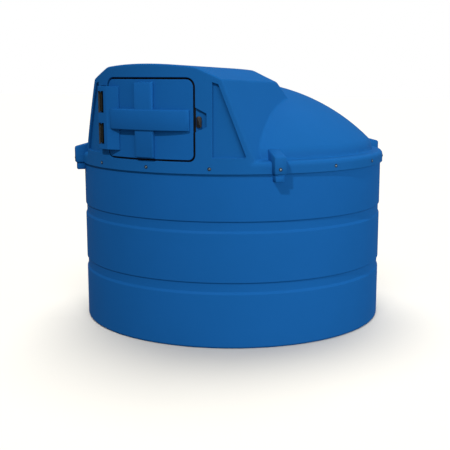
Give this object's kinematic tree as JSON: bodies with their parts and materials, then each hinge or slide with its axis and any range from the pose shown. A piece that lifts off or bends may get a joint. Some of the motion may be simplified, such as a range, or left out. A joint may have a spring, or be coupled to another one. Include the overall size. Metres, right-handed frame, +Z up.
{
  "type": "vertical storage tank",
  "caption": "Round bunded plastic storage tank with a domed cover and a dispensing cabinet behind a curved hinged door.",
  "frame": {"origin": "on the floor, on the tank's vertical axis", "axes": "+Z up along the tank's axis; the cabinet and its door face -Y; +X is the right-hand side of someone who stands in front of the door"},
  "size_m": [2.4514, 2.4848, 2.0042],
  "materials": {
    "tank_polyethylene": "rotational-moulded blue polyethylene, soft satin sheen",
    "cover_polyethylene": "rotational-moulded blue polyethylene, soft satin sheen",
    "door_polyethylene": "rotational-moulded blue polyethylene, soft satin sheen",
    "liner_polyethylene": "rotational-moulded blue polyethylene, as moulded inside",
    "seal_rubber": "black sponge rubber, matt",
    "zinc_steel": "bright zinc plate",
    "hinge_steel": "dark olive passivated steel",
    "lock_bronze": "dulled bronze-coloured die casting"
  },
  "bodies": {
    "tank": {"bund_floor": "tank_polyethylene", "bund_wall_back": "tank_polyethylene", "bund_wall_front": "tank_polyethylene", "cabinet_floor": "liner_polyethylene", "cabinet_hood": "cover_polyethylene", "cover_dome": "cover_polyethylene", "cover_rim": "cover_polyethylene", "door_seal": "seal_rubber", "hinge_bracket_lower": "hinge_steel", "hinge_bracket_upper": "hinge_steel", "hinge_pin": "hinge_steel", "lock_body": "lock_bronze", "lock_knob": "lock_bronze", "lug_screw_03": "zinc_steel", "lug_screw_07": "zinc_steel", "lug_screw_11": "zinc_steel", "lug_screw_15": "zinc_steel", "rim_screw_01": "zinc_steel", "rim_screw_02": "zinc_steel", "rim_screw_04": "zinc_steel", "rim_screw_05": "zinc_steel", "rim_screw_06": "zinc_steel", "rim_screw_08": "zinc_steel", "rim_screw_09": "zinc_steel", "rim_screw_10": "zinc_steel", "rim_screw_12": "zinc_steel", "rim_screw_13": "zinc_steel", "rim_screw_14": "zinc_steel", "rim_screw_16": "zinc_steel"},
    "door": {"cabinet_door": "door_polyethylene"}
  },
  "joints": [
    {"name": "door_hinge", "type": "hinge", "parent": "tank", "child": "door", "pos_m": [-0.42742, -1.15548, 1.62], "axis": [0, 0, -1], "range_deg": [0, 100]}
  ]
}
